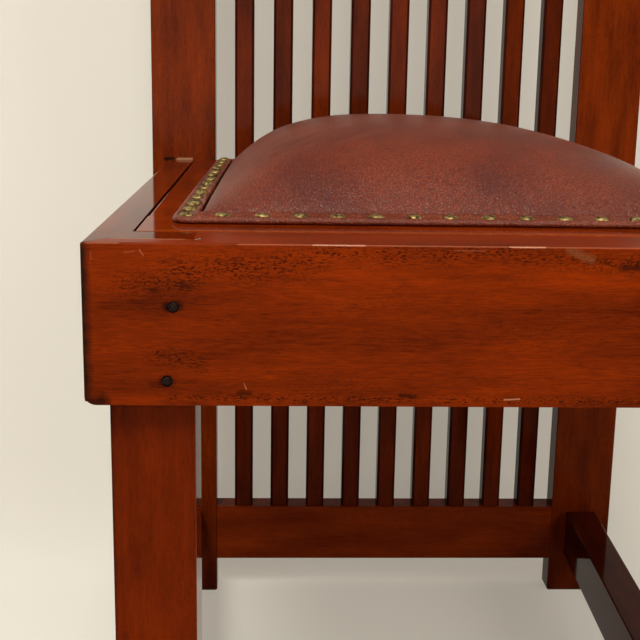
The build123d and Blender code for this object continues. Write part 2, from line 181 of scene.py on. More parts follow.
camera_place = (-0.1111, -0.8385, 0.5194)
camera_pitch = 0.2190
camera_yaw = 0.0399
camera_roll = 0.0166
sensor_width_mm = 36
lens_mm = 64.96

camera_data = bpy.data.cameras.new("camera")
camera_data.sensor_width = sensor_width_mm
camera_data.lens = lens_mm
camera = bpy.data.objects.new("camera", camera_data)
look = Vector((math.sin(camera_yaw) * math.cos(camera_pitch),
               math.cos(camera_yaw) * math.cos(camera_pitch), -math.sin(camera_pitch)))
level = Vector((math.cos(camera_yaw), -math.sin(camera_yaw), 0))
upright = level.cross(look)
right = math.cos(camera_roll) * level + math.sin(camera_roll) * upright
above = -math.sin(camera_roll) * level + math.cos(camera_roll) * upright
camera.matrix_world = Matrix.Translation(camera_place) @ Matrix((right, above, -look)).transposed().to_4x4()
bpy.context.collection.objects.link(camera)
bpy.context.scene.camera = camera
bpy.context.scene.view_settings.view_transform = "Standard"


# Front rail: a deep mahogany board, planed and French polished to a clear red-brown shine.
# Its ends are cut back to a lip that hides the legs, mitred to the side rails and pegged.
# It is darker down the mitred corner and has a painted highlight along its top edge; behind the lip the
# polish is broken to raw wood, with painted shade in the gap beyond.

figure_luck = random.Random(3)


def ragged_line_mask(tree, place, start, end, radius, ragged=0.6):
    """Mask of a mark along a line, in millimetres, with a ragged edge."""
    start, end = Vector(start) / 1000, Vector(end) / 1000
    run = end - start
    from_start = add(tree, "VectorMath", {"operation": "SUBTRACT"}, {0: place, 1: start})
    share = add(tree, "VectorMath", {"operation": "DOT_PRODUCT"}, {
        0: from_start, 1: run / max(run.length_squared, 1e-9)})
    share = add(tree, "Clamp", {}, {"Value": share.outputs["Value"]})
    along_run = add(tree, "VectorMath", {"operation": "SCALE"}, {0: run, "Scale": share})
    across = add(tree, "VectorMath", {"operation": "SUBTRACT"}, {0: from_start, 1: along_run})
    distance = add(tree, "VectorMath", {"operation": "LENGTH"}, {0: across}).outputs["Value"]
    # the edge crumbles in bits about one and a half times the mark's radius
    crumble = add(tree, "TexNoise", {}, {"Vector": place, "Scale": 700 / max(radius, 0.8), "Detail": 4.0,
                                         "Roughness": 0.65})
    distance = add(tree, "Math", {"operation": "MULTIPLY_ADD"}, {
        0: crumble, 1: ragged * 2 * radius / 1000, 2: distance})
    # the distance as a share of twice the radius
    share = add(tree, "Math", {"operation": "MULTIPLY"}, {0: distance, 1: 500 / radius})
    return ramp(tree, share, [(0.1 + 0.4 * ragged, 1.0), (0.42 + 0.56 * ragged, 0.0)])


def finish_node(node, material):
    """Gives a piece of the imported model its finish."""
    for slot in nodes[node].material_slots:
        slot.material = material


def mahogany(node, along, deep, light, fleck=0.5, figure=(), pores_at=(), marks=(), sides=0.0, polish=0.08):
    """French-polished mahogany for one board, its grain along an axis.

    deep and light are its tones, fleck how many open pores it shows. figure tones the board
    across its grain, as (height in mm, tone). pores_at are lines round which more pores cluster,
    as (start, end, radius) in mm, and marks are stains, bruises, painted shade and painted
    highlights, as (start, end, radius, colour, strength). sides is how much painted shade darkens
    its side faces, and polish how rough the polish on top has become.
    """
    material, tree = new_material("polished_mahogany_" + node)
    chair = add(tree, "TexCoord", {}, {}).outputs["Object"]
    place = chair
    if along == "Y":
        place = add(tree, "Mapping", {}, {"Vector": place, "Rotation": (0, 0, math.pi / 2)})
    if along == "Z":
        place = add(tree, "Mapping", {}, {"Vector": place, "Rotation": (0, math.pi / 2, 0)})
    # each board is cut from its own place in the log
    shift = [figure_luck.uniform(0, 3) for axis in "XYZ"]
    place = add(tree, "VectorMath", {"operation": "ADD"}, {0: place, 1: shift})
    # the growth wanders about 2 mm to each side over 250 mm of length
    drift = add(tree, "Mapping", {}, {"Vector": place, "Scale": (4, 12, 12)})
    drift = add(tree, "TexNoise", {}, {"Vector": drift, "Scale": 1.0, "Detail": 2.0})
    drift = add(tree, "VectorMath", {"operation": "SUBTRACT"}, {
        0: drift.outputs["Color"], 1: (0.5, 0.5, 0.5)})
    drift = add(tree, "VectorMath", {"operation": "MULTIPLY"}, {0: drift, 1: (0.0, 0.009, 0.009)})
    grain = add(tree, "VectorMath", {"operation": "ADD"}, {0: place, 1: drift})

    def streaks(length_mm, width_mm, detail, roughness, stops):
        """Streaks along the grain, of about this length and width."""
        stretched = add(tree, "Mapping", {}, {"Vector": grain, "Scale": (
            1000 / length_mm, 1000 / width_mm, 1000 / width_mm)})
        pattern = add(tree, "TexNoise", {}, {"Vector": stretched, "Scale": 1.0, "Detail": detail,
                                             "Roughness": roughness})
        return ramp(tree, pattern, stops)

    def blend(share, first, second):
        """A mix of two tones."""
        return add(tree, "Mix", {"data_type": "FLOAT"}, {"Factor": share, "A": first, "B": second})

    def paint(mask, strength, under, over):
        """Lays a colour over another where the mask is bright."""
        mask = add(tree, "Math", {"operation": "MULTIPLY"}, {0: mask, 1: strength})
        return add(tree, "Mix", {"data_type": "RGBA"}, {"Factor": mask, "A": under, "B": linear(over)})

    tone = streaks(85, 18, 3, 0.55, [(0.31, 0.0), (0.69, 1.0)])
    if figure:
        # the figure wanders with the growth, four times as far
        height = add(tree, "SeparateXYZ", {}, {0: chair}).outputs["Z"]
        wander = add(tree, "SeparateXYZ", {}, {0: drift}).outputs["Z"]
        height = add(tree, "Math", {"operation": "MULTIPLY_ADD"}, {0: wander, 1: 4.0, 2: height})
        low, high = figure[0][0], figure[-1][0]
        height = add(tree, "MapRange", {}, {
            "Value": height, "From Min": low / 1000, "From Max": high / 1000})
        heights = [((level - low) / (high - low), band) for level, band in figure]
        tone = blend(0.5, tone, ramp(tree, height, heights))
    tone = blend(0.16, tone, streaks(70, 3.0, 3, 0.6, [(0.38, 0.0), (0.62, 1.0)]))
    tone = blend(0.26, tone, streaks(9, 0.75, 3, 0.7, [(0.36, 0.0), (0.64, 1.0)]))
    body = add(tree, "Mix", {"data_type": "RGBA"}, {"Factor": tone, "A": linear(deep), "B": linear(light)})
    fibres = streaks(8, 0.9, 3, 0.7, [(0.56, 0.0), (0.72, 0.45)])
    body = paint(fibres, 1.0, body, "#2c0b02")
    # pores are 0.2 mm wide in the wood; drawn 0.5 mm wide and 1.3 mm long so that they show
    pores = streaks(2.1, 0.68, 1.0, 0.6, [(0.51, 0.0), (0.6, 1.0)])
    clusters = streaks(45, 13, 4, 0.6, [(0.5, 0.0), (0.66, 1.0)])
    clusters = add(tree, "Math", {"operation": "MULTIPLY"}, {0: clusters, 1: fleck})
    for start, end, radius in pores_at:
        near = ragged_line_mask(tree, chair, start, end, radius, 0.9)
        clusters = add(tree, "Math", {"operation": "MAXIMUM"}, {0: clusters, 1: near})
    pores = add(tree, "Math", {"operation": "MULTIPLY"}, {0: pores, 1: clusters})
    body = paint(pores, 0.82, body, "#1e0600")
    # side faces, the more they face along X, are painted darker as shade
    if sides:
        facing = add(tree, "SeparateXYZ", {}, {0: add(tree, "NewGeometry", {}, {}).outputs["Normal"]})
        sideways = add(tree, "Math", {"operation": "ABSOLUTE"}, {0: facing.outputs["X"]})
        body = paint(ramp(tree, sideways, [(0.45, 0.0), (0.8, 1.0)]), sides, body, "#150502")
    # stains and bruises, and painted shade and painted highlights, laid on one after another
    for start, end, radius, colour, strength in marks:
        body = paint(ragged_line_mask(tree, chair, start, end, radius), strength, body, colour)
    cloud = add(tree, "TexNoise", {}, {"Vector": chair, "Scale": 28.0, "Detail": 5.0})
    roughness = ramp(tree, cloud, [(0.3, 0.1), (0.75, 0.2)])
    ripple = add(tree, "TexNoise", {}, {"Vector": chair, "Scale": 45.0, "Detail": 2.0})
    relief = add(tree, "Math", {"operation": "SUBTRACT"}, {0: ripple, 1: pores})
    bump = add(tree, "Bump", {}, {"Height": relief, "Strength": 0.2, "Distance": 0.00015})
    surface = add(tree, "BsdfPrincipled", {}, {
        "Base Color": body, "Roughness": roughness, "IOR": 1.5, "Specular IOR Level": 0.0, "Normal": bump,
        "Coat Weight": 1.0, "Coat Roughness": polish, "Coat IOR": 1.11})
    add(tree, "OutputMaterial", {}, {"Surface": surface})
    finish_node(node, material)


seat_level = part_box("front_rail")[1][2]
rail_figure = [(345, 0.3), (356, 0.4), (364, 0.3), (374, 0.18), (388, 0.1), (398, 0.3), (406, 0.62),
               (418, 0.85), (430, 0.7)]
rail_pores = [((-186, -262, 409), (-155, -262, 413), 12), ((-160, -262, 415), (-90, -262, 421), 14),
              ((-90, -262, 424), (10, -262, 427), 9), ((10, -262, 424), (120, -262, 421), 8),
              ((-165, -262, 349), (150, -262, 348), 4), ((-170, -262, 372), (-150, -262, 368), 9)]
rail_marks_and_light = [
    # darker down the mitred corner and in the lower corner, and a dark line along the mitre on top
    ((-209, -262, 350), (-209, -262, 428), 6.0, "#1c0d07", 0.95),
    ((-206, -262, 346), (-200, -262, 347), 6.0, "#1a0803", 0.85),
    ((-209, -262, 430), (-198, -248, 430), 0.9, "#1c0c06", 0.9),
    ((209, -262, 350), (209, -262, 428), 6.0, "#1c0d07", 0.95),
    ((209, -262, 430), (198, -248, 430), 0.9, "#1c0c06", 0.9),
    # raw wood along the broken back edge of the lip, painted shade in the gap behind it, and the torn notch
    # at its end, painted as shade with a painted grey highlight
    ((-195, -249.2, 430), (-158, -249.2, 430), 1.5, "#c47f4e", 0.8),
    ((-197, -248.1, 430), (-153, -248.1, 430), 0.7, "#1c0c06", 0.9),
    ((197, -248.1, 430), (153, -248.1, 430), 0.7, "#1c0c06", 0.9),
    ((-153, -253, 430), (-149, -243, 430), 2.0, "#1c0c06", 0.9),
    ((-152, -250, 430), (-150, -246, 430), 1.1, "#c9ab94", 0.7),
    # a painted highlight along the top front edge, brighter in two short runs and near the left corner
    ((-130, -261.7, 429.7), (205, -261.7, 429.7), 0.7, "#b56a4c", 0.5),
    ((-92, -261.7, 429.7), (-66, -261.7, 429.7), 0.75, "#e0a78a", 0.6),
    ((8, -261.7, 429.7), (26, -261.7, 429.7), 0.75, "#e0a78a", 0.6),
    ((-206, -261.6, 429.8), (-190, -261.6, 429.8), 0.9, "#a4684a", 0.5),
    # small dark bruises and knots
    ((-158, -262, 408.5), (-155, -262, 407.5), 3.0, "#260900", 0.8),
    ((-174, -262, 405.5), (-171, -262, 405.5), 2.4, "#2c0b00", 0.7),
    ((-174, -262, 356), (-170, -262, 356.5), 2.6, "#300c00", 0.6),
    ((-130, -262, 352), (-124, -262, 351.6), 2.2, "#260800", 0.7),
    ((-46, -262, 351), (-38, -262, 350.4), 1.7, "#1c0600", 0.8),
    # the dark stain round each peg
    ((-165.8, -262, 397), (-160.2, -262, 397.6), 4.0, "#0a0302", 1.0),
    ((-167.6, -262, 358), (-165.4, -262, 358), 4.6, "#0e0402", 0.95),
    ((165.8, -262, 397), (160.2, -262, 397.6), 4.0, "#0a0302", 1.0),
    ((167.6, -262, 358), (165.4, -262, 358), 4.6, "#0e0402", 0.95),
    # pale scratches through the polish
    ((-179.5, -262, 426.5), (-177.5, -262, 423.5), 0.45, "#c98a66", 0.3),
    ((-187, -262, 425), (-182, -262, 425.6), 0.5, "#b9754f", 0.24),
    ((-204, -262, 425), (-203.6, -262, 421), 0.4, "#b9754f", 0.22),
    ((-126.8, -262, 357), (-125.6, -262, 354), 0.5, "#c98a66", 0.3),
    ((39, -262, 428), (50, -262, 423.5), 3.8, "#7c4a2c", 0.5),
    ((66, -262, 419.6), (75, -262, 419.4), 3.0, "#240a02", 0.8),
    ((9, -262, 349), (17, -262, 349.4), 0.7, "#c98f70", 0.55),
    ((-20, -262, 427.5), (-4, -262, 427.6), 0.5, "#a0583a", 0.45),
]
mahogany("front_rail", "X", "#340a00", "#902f01", 0.3, rail_figure, rail_pores, rail_marks_and_light, polish=0.3)


# Side rails: thinner mahogany boards, planed and polished, lipped outside the legs and mitred
# to the front rail. Their tops are flush with the slip seat; a painted highlight runs along the
# outer top edge, with painted shade in the gap beside each leg and a darker band down the mitred corner.

for side, sign in (("left", -1), ("right", 1)):
    side_marks_and_light = [
        ((sign * 209, -262, 430), (sign * 198, -248, 430), 0.7, "#1c0c06", 0.9),
        # painted shade in the gap between the lip and the leg
        ((sign * 198.2, -248, 430), (sign * 198.2, -204, 430), 0.5, "#1c0c06", 0.8),
        # darker down the mitred corner
        ((sign * 209, -260.5, 350), (sign * 209, -260.5, 428), 3.4, "#130704", 1.0),
        # a painted highlight along the outer top edge
        ((sign * 208.6, -240, 429.8), (sign * 208.6, 200, 429.8), 0.7, "#c08468", 0.5),
    ]
    mahogany(f"side_rail_{side}", "Y", "#3e0c01", "#863004", 0.3, marks=side_marks_and_light)


# Front legs: square mahogany, planed, their tops level with the rails that house them.
# They carry painted shade where they meet the lips, a painted shadow under the front rail,
# a darker band down the outer edge and a painted highlight on the inner edge.

for side, sign in (("left", -1), ("right", 1)):
    leg_marks_and_light = [
        # painted shade in the gaps where the leg meets the lips
        ((sign * 197, -248, 430), (sign * 153, -248, 430), 0.6, "#1c0c06", 0.9),
        ((sign * 197.6, -247, 430), (sign * 197.6, -204, 430), 0.5, "#1c0c06", 0.8),
        # darker down the outer front edge
        ((sign * 198, -248, 5), (sign * 198, -248, 345), 2.2, "#2a0b03", 0.7),
        # a painted shadow across the leg just under the front rail
        ((sign * 198, -248, 342), (sign * 153, -248, 342), 3.0, "#1c0703", 0.7),
        # a painted highlight down the inner front edge
        ((sign * 153, -247, 5), (sign * 153, -247, 345), 1.0, "#c06a44", 0.35),
    ]
    mahogany(f"front_leg_{side}", "Z", "#420f01", "#722402", 0.25, marks=leg_marks_and_light)


# Side stretchers: low mahogany bars tenoned into each front leg and rear post, a little toed out.
# They are given the darkest tones of the chair.

for side in ("left", "right"):
    mahogany(f"side_stretcher_{side}", "Y", "#2c0b04", "#5a1c08", 0.2)


# Pegs: whittled bog-dark oak, driven through the front rail's lip and cut off nearly flush.
# The bare end grain is almost black, with a few torn fibres that have dried grey.

peg_radius = 0.003
peg_flatness = 0.84
peg_sides = 12
peg_length = 0.04
peg_proud = 0.0002
# distance from the chair's middle, and below the top of the rail
peg_places = [(0.163, 0.033), (0.1665, 0.072)]

peg_wood, tree = new_material("bog_dark_oak_end_grain")
place = add(tree, "TexCoord", {}, {}).outputs["Object"]
end_grain = add(tree, "TexNoise", {}, {"Vector": place, "Scale": 1400.0, "Detail": 3.0})
tone = ramp(tree, end_grain, [
    (0.46, linear("#080403")), (0.62, linear("#2a1710")), (0.74, linear("#766c62"))])
bump = add(tree, "Bump", {}, {"Height": end_grain, "Strength": 0.6, "Distance": 0.0004})
oak = add(tree, "BsdfPrincipled", {}, {
    "Base Color": tone, "Roughness": 0.8, "Specular IOR Level": 0.08, "Normal": bump})
add(tree, "OutputMaterial", {}, {"Surface": oak})


def ring_faces(base, rings, size):
    """Faces that join rings of points, each ring to the one after it."""
    faces = []
    for ring in range(rings - 1):
        low = base + ring * size
        for place in range(size):
            after = (place + 1) % size
            faces.append((low + place, low + after, low + size + after, low + size + place))
    return faces


peg_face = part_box("front_rail_pegs")[0][1]
peg_points = []
peg_faces = []
whittled = random.Random(5)
peg_spots = [(side * across, seat_level - drop) for side in (-1, 1) for across, drop in peg_places]
for spot_x, spot_z in peg_spots:
    base = len(peg_points)
    wobble = [whittled.uniform(0.88, 1.0) for turn in range(peg_sides)]
    rings = [(0.5, -peg_proud), (0.94, -peg_proud / 2), (1.0, peg_proud), (1.0, peg_length)]
    peg_points.append((spot_x, peg_face - peg_proud, spot_z))
    for share, back in rings:
        for turn in range(peg_sides):
            angle = 2 * math.pi * turn / peg_sides
            reach = peg_radius * share * wobble[turn]
            peg_points.append((spot_x + reach * math.cos(angle), peg_face + back,
                               spot_z + reach * peg_flatness * math.sin(angle)))
    for turn in range(peg_sides):
        peg_faces.append((base, base + 1 + turn, base + 1 + (turn + 1) % peg_sides))
    # the rings run backwards from the front, so their faces are turned over
    peg_faces.extend((a, d, c, b) for a, b, c, d in ring_faces(base + 1, len(rings), peg_sides))
    last_ring = base + 1 + (len(rings) - 1) * peg_sides
    peg_faces.append(tuple(last_ring + turn for turn in reversed(range(peg_sides))))
pegs = new_piece("rail_pegs", peg_points, peg_faces, peg_wood)
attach(pegs, "frame")
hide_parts("front_rail_pegs")


# Back: two flat posts from floor to top, joined by a low rail and a deep crest rail, all planed
# mahogany with tenons. The rear seat rail behind the seat is a board of the same kind.

for side, sign in (("left", -1), ("right", 1)):
    post_marks = [
        ((sign * 213, 238, 430.8), (sign * 206, 238, 431), 2.6, "#0e0502", 1.0),
        ((sign * 202, 238, 430.8), (sign * 189, 238, 431), 1.9, "#b98a66", 0.8),
    ]
    # the posts' side faces are painted darker as shade
    mahogany(f"rear_post_{side}", "Z", "#461201", "#853004", 0.35, marks=post_marks, sides=0.35)
for node in ("lower_back_rail", "crest_rail", "rear_seat_rail"):
    mahogany(node, "X", "#5f1903", "#943707", 0.3)


# Slats: nine square bars with bevelled edges, no two quite alike in tone,
# their side faces painted darker as shade.

slat_count = 9
slat_tones = random.Random(7)


def toned(middle, spread, change):
    """The hex value of a tone moved from its middle by a share of its spread."""
    return "#%02x%02x%02x" % tuple(int(tone + width * change) for tone, width in zip(middle, spread))


for number in range(1, slat_count + 1):
    change = slat_tones.uniform(-1, 1)
    deep = toned((62, 17, 2), (14, 4, 0), change)
    light = toned((118, 40, 4), (20, 9, 0), change)
    mahogany(f"slat_{number}", "Z", deep, light, 0.25, sides=0.8)


# Slip seat frame: four flat mahogany boards, tenoned into one frame that drops in flush with
# the rails. A band of painted light, a brighter orange, runs along the strip that shows in front of the
# leather.

slip_marks_and_light = [
    # a band of painted light, a brighter orange, along the strip in front of the leather
    ((-186, -217, 430), (186, -217, 430), 5.0, "#a8480c", 0.6),
    ((-186, -157.6, 430), (-126, -157.6, 430), 0.5, "#1c0c06", 0.8),
    ((186, -157.6, 430), (126, -157.6, 430), 0.5, "#1c0c06", 0.8),
]
for node, along, marks in (("front", "X", slip_marks_and_light), ("rear", "X", ()),
                           ("side_left", "Y", ()), ("side_right", "Y", ())):
    mahogany("slip_frame_" + node, along, "#451001", "#8f3003", 0.3, marks=marks)


# Ledgers and corner blocks: sawn and planed pine, never polished, screwed and glued inside
# the rails. The slip seat rests on them.

softwood, tree = new_material("planed_pine")
place = add(tree, "TexCoord", {}, {}).outputs["Object"]
# the growth shows as bands about 5 mm high and 25 mm deep, drawn out 125 mm along the front ledger
stretched = add(tree, "Mapping", {}, {"Vector": place, "Scale": (8, 40, 220)})
growth = add(tree, "TexNoise", {}, {"Vector": stretched, "Scale": 1.0, "Detail": 4.0})
tone = ramp(tree, growth, [(0.3, linear("#8a5f34")), (0.5, linear("#b98d57")), (0.7, linear("#cda873"))])
bump = add(tree, "Bump", {}, {"Height": growth, "Strength": 0.3, "Distance": 0.0003})
pine = add(tree, "BsdfPrincipled", {}, {"Base Color": tone, "Roughness": 0.6, "Normal": bump})
add(tree, "OutputMaterial", {}, {"Surface": pine})
for node in ("front_ledger", "side_ledger_left", "side_ledger_right", "front_corner_block_left",
             "front_corner_block_right", "rear_corner_block_left", "rear_corner_block_right"):
    finish_node(node, softwood)


# Ledger screws: wood screws of drawn steel with turned heads, sunk flush in the ledgers.
# The heads have gone brown with rust in patches.

screw_steel, tree = new_material("drawn_steel_rusted")
place = add(tree, "TexCoord", {}, {}).outputs["Object"]
rust = add(tree, "TexNoise", {}, {"Vector": place, "Scale": 600.0, "Detail": 4.0})
tone = ramp(tree, rust, [(0.4, linear("#77706a")), (0.6, linear("#5a3a26"))])
roughness = ramp(tree, rust, [(0.4, 0.35), (0.6, 0.8)])
steel = add(tree, "BsdfPrincipled", {}, {"Base Color": tone, "Metallic": 1.0, "Roughness": roughness})
add(tree, "OutputMaterial", {}, {"Surface": steel})
finish_node("ledger_screws", screw_steel)


# Leather pad: oxblood hide drawn over a domed pad of hair, its seam tucked down behind the edge.
# The hide has a fine pebbled grain, small wrinkles above the seam and a worn satin shine.

seat_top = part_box("slip_frame_front")[1][2]
roll_low, roll_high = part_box("leather_edge_roll")
edge_outer = roll_high[0]
edge_front = roll_low[1]
edge_back = roll_high[1]
edge_width = 0.016
pad_low, pad_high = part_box("leather_cover")
pad_half = pad_high[0]
pad_front = pad_low[1]
pad_back = pad_high[1]
crown_height = pad_high[2] - seat_top
back_taper = 0.030


def narrowed(x, y):
    """The pad is slightly narrower at the back than at the front."""
    return x * (1 - back_taper * (y - edge_front) / (edge_back - edge_front))


# height of the stuffed crown as a share of its middle, by distance in from the seam in mm;
# the hair has settled towards the right, so that shoulder is slacker
left_line = [(0, 0.0), (3, 0.11), (9, 0.24), (18, 0.415), (28, 0.61), (38, 0.755), (50, 0.865),
             (63, 0.93), (85, 0.975), (125, 1.0), (154, 1.0)]
right_line = [(0, 0.0), (3, 0.09), (12, 0.24), (27, 0.475), (40, 0.61), (53, 0.715), (80, 0.85),
              (110, 0.93), (135, 0.98), (154, 1.0)]
end_line = [(0, 0.0), (3, 0.11), (9, 0.24), (18, 0.41), (28, 0.58), (40, 0.73), (55, 0.84),
            (75, 0.92), (100, 0.965), (140, 0.995), (178, 1.0)]


def share_at(line, distance):
    """Smooth reading of a table of (distance in mm, share)."""
    distance = min(max(1000 * distance, line[0][0]), line[-1][0])
    place = max(n for n in range(len(line) - 1) if line[n][0] <= distance)
    slopes = [(line[n + 1][1] - line[n][1]) / (line[n + 1][0] - line[n][0]) for n in range(len(line) - 1)]
    before = slopes[place] if place == 0 else (slopes[place - 1] + slopes[place]) / 2
    after = 0.0 if place == len(slopes) - 1 else (slopes[place] + slopes[place + 1]) / 2
    (start, low), (end, high) = line[place], line[place + 1]
    step = end - start
    part = (distance - start) / step
    return (low * (1 + 2 * part) * (1 - part) ** 2 + before * step * part * (1 - part) ** 2
            + high * part ** 2 * (3 - 2 * part) + after * step * part ** 2 * (part - 1))


def leather(name, low, high, pulled):
    """Oxblood hide with pebbled grain, its colour rubbed thin in patches.

    low and high are its tones, pulled how deeply the nails draw it into wrinkles.
    """
    material, tree = new_material(name)
    place = add(tree, "TexCoord", {}, {}).outputs["Object"]
    mottle = add(tree, "TexNoise", {}, {"Vector": place, "Scale": 13.0, "Detail": 6.0, "Roughness": 0.6})
    tone = ramp(tree, mottle, [(0.36, linear(low)), (0.62, linear(high))])
    warp = add(tree, "TexNoise", {}, {"Vector": place, "Scale": 320.0, "Detail": 3.0})
    warped = add(tree, "VectorMath", {"operation": "MULTIPLY_ADD"}, {
        0: warp.outputs["Color"], 1: (0.0018, 0.0018, 0.0018), 2: place})
    # grain cells of a cow hide are about 0.8 mm; drawn 1.8 mm across so that they show
    cells = add(tree, "TexVoronoi", {"feature": "DISTANCE_TO_EDGE"}, {
        "Vector": warped, "Scale": 1000 / 1.8})
    pebbles = ramp(tree, cells, [(0.02, 0.0), (0.3, 1.0)])
    crease = add(tree, "Math", {"operation": "MULTIPLY_ADD"}, {0: pebbles, 1: -0.75, 2: 0.75})
    tone = add(tree, "Mix", {"data_type": "RGBA"}, {"Factor": crease, "A": tone, "B": linear("#3d140c")})
    # fine wrinkles 2 to 4 mm apart run up the crown where the nails pull the hide, at the front
    # and at each side; their tops carry a painted highlight
    apart = add(tree, "SeparateXYZ", {}, {0: place})
    from_front = add(tree, "Math", {"operation": "SUBTRACT"}, {0: apart.outputs["Y"], 1: pad_front})
    from_middle = add(tree, "Math", {"operation": "ABSOLUTE"}, {0: apart.outputs["X"]})
    bend = add(tree, "TexNoise", {}, {"Vector": place, "Scale": 160.0, "Detail": 3.0})
    bent = add(tree, "VectorMath", {"operation": "MULTIPLY_ADD"}, {
        0: bend.outputs["Color"], 1: (0.004, 0.004, 0.004), 2: place})
    folds = None
    # the distance that counts, where the wrinkles are deepest, where they have gone, their spacing
    for distance, near, far, spacing in (
            (from_front, 0.001, 0.018, (1 / 0.0042, 1 / 0.011, 1 / 0.011)),
            (from_middle, pad_half - 0.005, pad_half - 0.020, (1 / 0.011, 1 / 0.0046, 1 / 0.011))):
        near_seam = add(tree, "MapRange", {}, {"Value": distance, "From Min": far, "From Max": near,
                                               "To Max": pulled})
        drawn = add(tree, "Mapping", {}, {"Vector": bent, "Scale": spacing})
        drawn = add(tree, "TexNoise", {}, {"Vector": drawn, "Scale": 1.0, "Detail": 1.5})
        fold = add(tree, "Math", {"operation": "MULTIPLY"}, {
            0: ramp(tree, drawn, [(0.45, 0.0), (0.5, 1.0), (0.55, 0.0)]), 1: near_seam.outputs[0]})
        folds = fold if folds is None else add(tree, "Math", {"operation": "MAXIMUM"}, {0: folds, 1: fold})
    # a painted highlight, pale, on the tops of the wrinkles
    painted_fold_highlight = add(tree, "Math", {"operation": "MULTIPLY"}, {0: folds, 1: 0.12})
    tone = add(tree, "Mix", {"data_type": "RGBA"}, {
        "Factor": painted_fold_highlight, "A": tone, "B": linear("#b07862")})
    bump = add(tree, "Bump", {}, {"Height": folds, "Strength": 0.38, "Distance": 0.0009})
    bump = add(tree, "Bump", {}, {"Height": pebbles, "Strength": 0.55, "Distance": 0.0004, "Normal": bump})
    hide = add(tree, "BsdfPrincipled", {}, {
        "Base Color": tone, "Roughness": 0.36, "IOR": 1.5, "Specular IOR Level": 0.24, "Normal": bump})
    add(tree, "OutputMaterial", {}, {"Surface": hide})
    return material


def along_side(step, count):
    """How far along a side a point lies, from 0 to 1; points crowd a little near both ends."""
    crowded = 0.5 - math.cos(math.pi * step / count) / 2
    return 0.35 * crowded + 0.65 * step / count


def grid_faces(rows, columns):
    """Faces of a grid of points, row after row."""
    faces = []
    for row in range(rows):
        for column in range(columns):
            first = row * (columns + 1) + column
            faces.append((first, first + 1, first + columns + 2, first + columns + 1))
    return faces


def rim_of(shell):
    """The edges round the openings of a mesh."""
    return [edge for edge in shell.edges if edge.is_boundary]


def carry_on(shell, height, half=math.inf, front=-math.inf, back=math.inf):
    """Carries the cover on from its rim to a height, inside the limits given."""
    grown = bmesh.ops.extrude_edge_only(shell, edges=rim_of(shell))["geom"]
    for vertex in (part for part in grown if isinstance(part, bmesh.types.BMVert)):
        vertex.co.x = max(-half, min(half, vertex.co.x))
        vertex.co.y = max(front, min(back, vertex.co.y))
        vertex.co.z = height


pad_hide = leather("oxblood_hide_crown", "#631f0f", "#8b381c", 1.0)
rim_height = 0.0045
swelling = 0.004
stuffing_pressure = 4.0
hide_clearance = 0.0003
hair_clearance = 0.0002
tuck = 0.0008
columns = 72
rows = 84
pad_length = pad_back - pad_front
top_points = []
for row in range(rows + 1):
    y = pad_front + pad_length * along_side(row, rows)
    share_y = share_at(end_line, min(y - pad_front, pad_back - y))
    for column in range(columns + 1):
        x = pad_half * (2 * along_side(column, columns) - 1)
        share_x = share_at(left_line if x < 0 else right_line, pad_half - abs(x))
        z = seat_top + rim_height + (crown_height - swelling - rim_height) * share_x * share_y
        top_points.append((narrowed(x, y), y, z))
pad = new_piece("leather_pad", top_points, grid_faces(rows, columns), pad_hide)

# the border of the hide turns in under the pad as far as the hessian, and the hair lies on that
hessian_low, hessian_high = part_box("seat_hessian")
inner_half = hessian_high[0] + tuck
inner_front = hessian_low[1] - tuck
inner_back = hessian_high[1] + tuck
shell = bmesh.new()
shell.from_mesh(pad.data)
carry_on(shell, seat_top + hide_clearance)
carry_on(shell, seat_top + hide_clearance, inner_half, inner_front, inner_back)
carry_on(shell, hessian_high[2] + hair_clearance, inner_half, inner_front, inner_back)
# points that fell together in the corners become one
bmesh.ops.remove_doubles(shell, verts=shell.verts, dist=0.000002)
shell.to_mesh(pad.data)
shell.free()


def fill_bottom(mesh):
    """Closes the pad below with one flat face."""
    shell = bmesh.new()
    shell.from_mesh(mesh)
    bmesh.ops.holes_fill(shell, edges=rim_of(shell), sides=0)
    shell.to_mesh(mesh)
    shell.free()


def open_bottom(mesh):
    """Takes that face out again; all others have four sides or fewer."""
    shell = bmesh.new()
    shell.from_mesh(mesh)
    wide = [face for face in shell.faces if len(face.verts) > 4]
    bmesh.ops.delete(shell, geom=wide, context="FACES_ONLY")
    shell.to_mesh(mesh)
    shell.free()


def places_of(mesh):
    """Every vertex of a mesh, read at once."""
    numbers = [0.0] * (3 * len(mesh.vertices))
    mesh.vertices.foreach_get("co", numbers)
    return [Vector(numbers[at:at + 3]) for at in range(0, len(numbers), 3)]


def put_places(mesh, places):
    """Moves every vertex of a mesh at once."""
    mesh.vertices.foreach_set("co", [number for place in places for number in place])
    mesh.update()


def swell(piece, held, pressure, cap):
    """Lets the stuffing press the cover out, as cloth held at its seam, and keeps that shape."""
    frames = 20
    group = piece.vertex_groups.new(name="sewn_down")
    group.add(held, 1.0, "REPLACE")
    cloth = piece.modifiers.new("cloth", "CLOTH")
    cloth.settings.use_pressure = True
    cloth.settings.uniform_pressure_force = pressure
    cloth.settings.effector_weights.gravity = 0
    cloth.settings.vertex_group_mass = group.name
    cloth.point_cache.frame_start = 1
    cloth.point_cache.frame_end = frames
    for number in range(1, frames + 1):
        bpy.context.scene.frame_set(number)
    pressed = places_of(piece.evaluated_get(bpy.context.evaluated_depsgraph_get()).data)
    piece.modifiers.remove(cloth)
    bpy.context.scene.frame_set(1)
    places = []
    for start, end in zip(places_of(piece.data), pressed):
        step = end - start
        places.append(start + step * min(1.0, cap / max(step.length, 1e-9)))
    put_places(piece.data, places)


